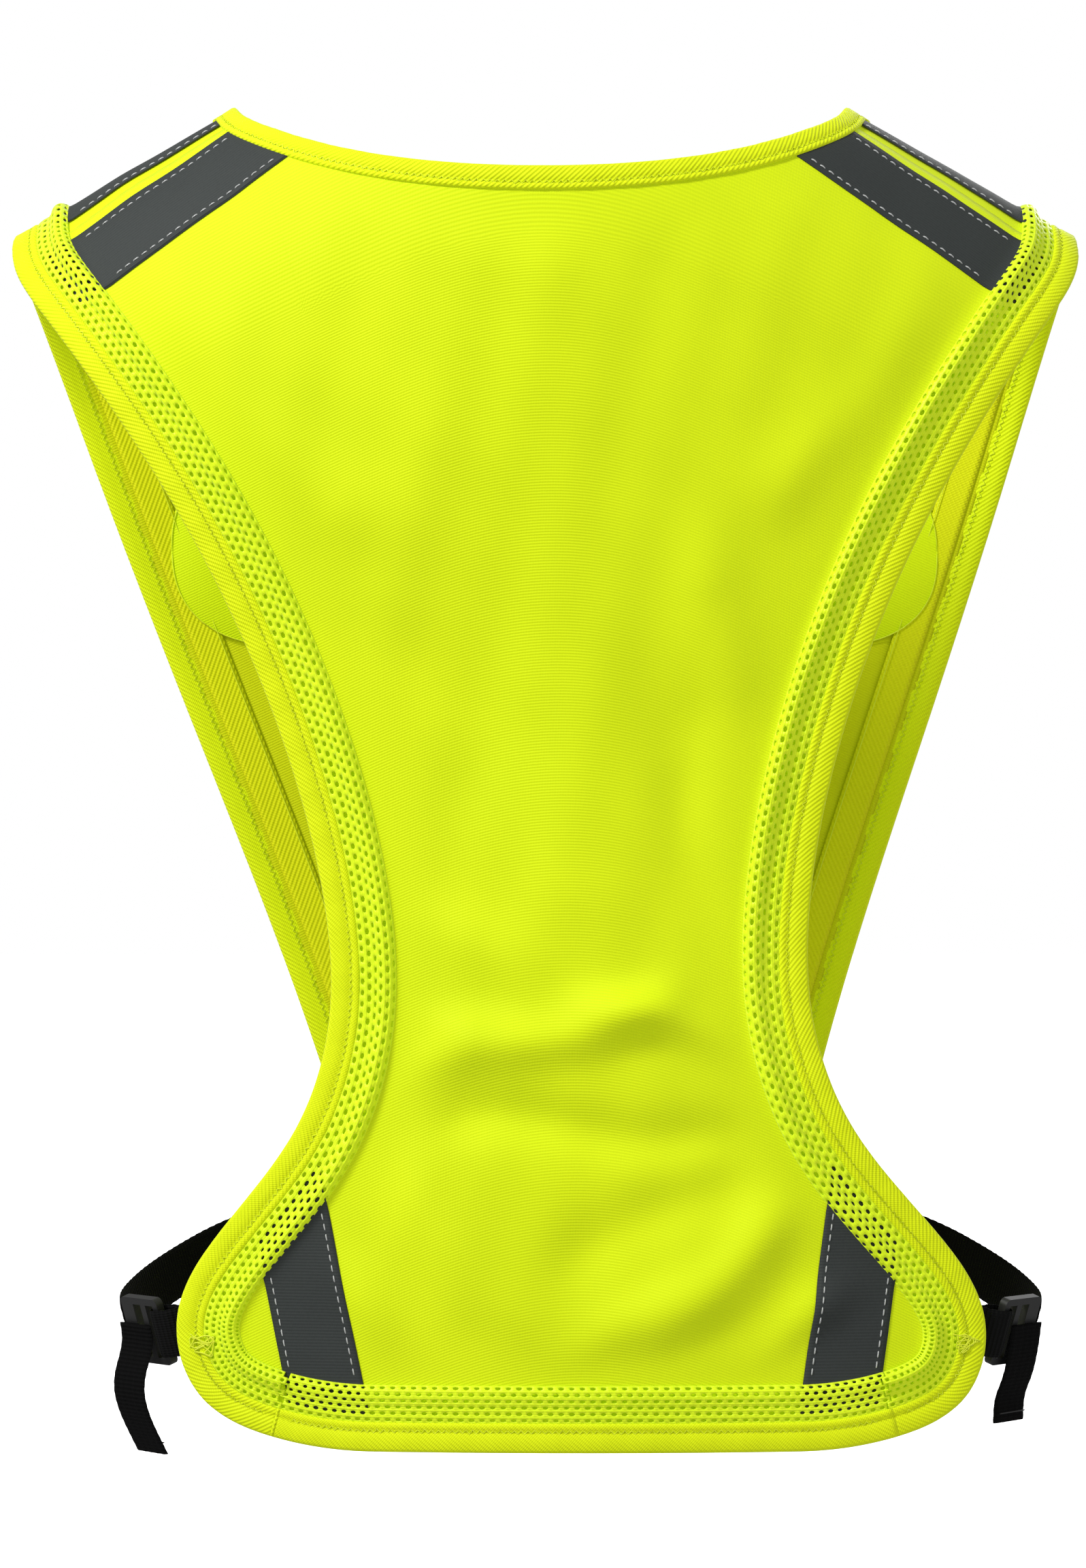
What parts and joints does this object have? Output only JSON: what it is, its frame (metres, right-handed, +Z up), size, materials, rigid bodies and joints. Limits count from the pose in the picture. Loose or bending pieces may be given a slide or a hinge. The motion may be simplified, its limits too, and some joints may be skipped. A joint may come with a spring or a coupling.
{
  "type": "high-visibility sports vest",
  "caption": "Sleeveless high-visibility vest with deep armholes, mesh and bound edges, reflective tapes, a front zip and adjustable elastic side straps.",
  "frame": {"origin": "on the shoulder crown line, midway between the two neck points", "axes": "+Z up, +Y the way the wearer faces, +X to the wearer's right"},
  "size_m": [0.4136, 0.1658, 0.5241],
  "materials": {
    "panel": "fine ribbed polyester, fluorescent yellow",
    "binding": "twill bias tape, fluorescent yellow",
    "mesh": "open polyester mesh, fluorescent yellow-green",
    "reflective_tape": "grey glass-bead reflective tape",
    "zip_tape": "woven zip tape",
    "zip_plastic": "moulded",
    "zip_metal": "black enamel",
    "elastic": "woven elastic, matt black",
    "webbing": "woven webbing, matt black",
    "lock_plastic": "moulded, black"
  },
  "bodies": {
    "vest": {"back_panel": "panel", "corner_tape_back_left": "reflective_tape", "corner_tape_back_right": "reflective_tape", "corner_tape_front_left": "reflective_tape", "corner_tape_front_right": "reflective_tape", "front_panel_left": "panel", "front_panel_right": "panel", "hem_binding_back": "binding", "hem_binding_front_left": "binding", "hem_binding_front_right": "binding", "hem_mesh_back": "mesh", "hem_mesh_front_left": "mesh", "hem_mesh_front_right": "mesh", "inner_pocket_left": "panel", "inner_pocket_right": "panel", "lock_loop_left": "webbing", "lock_loop_right": "webbing", "mesh_band_left": "mesh", "mesh_band_right": "mesh", "neck_binding": "binding", "shoulder_tape_back_left": "reflective_tape", "shoulder_tape_back_right": "reflective_tape", "shoulder_tape_front_left": "reflective_tape", "shoulder_tape_front_right": "reflective_tape", "side_binding_left": "binding", "side_binding_right": "binding", "side_strap_left": "elastic", "side_strap_right": "elastic", "zip_box": "zip_plastic", "zip_chain_left": "zip_plastic", "zip_chain_right": "zip_plastic", "zip_pin": "zip_plastic", "zip_tape_left": "zip_tape", "zip_tape_right": "zip_tape", "zip_top_stop_left": "zip_plastic", "zip_top_stop_right": "zip_plastic"},
    "slider": {"zip_slider": "zip_metal"},
    "pull": {"zip_pull": "zip_metal"},
    "lock_left": {"ladder_lock_left": "lock_plastic", "strap_tail_left": "elastic"},
    "lock_right": {"ladder_lock_right": "lock_plastic", "strap_tail_right": "elastic"}
  },
  "joints": [
    {"name": "zip_slide", "type": "slide", "parent": "vest", "child": "slider", "axis": [0.033, 0, -0.9995], "range_m": [0, 0.36]},
    {"name": "pull_flip", "type": "hinge", "parent": "slider", "child": "pull", "pos_m": [0.0043, 0.0828, -0.1302], "axis": [1, 0, 0], "range_deg": [0, 165]},
    {"name": "lock_tilt_left", "type": "hinge", "parent": "vest", "child": "lock_left", "pos_m": [-0.14435, -0.046, -0.4743], "axis": [-0.2381, -0.1905, 0.9524], "range_deg": [0, 35]},
    {"name": "lock_tilt_right", "type": "hinge", "parent": "vest", "child": "lock_right", "pos_m": [0.17565, -0.046, -0.4743], "axis": [-0.2381, 0.1905, -0.9524], "range_deg": [0, 35]}
  ]
}
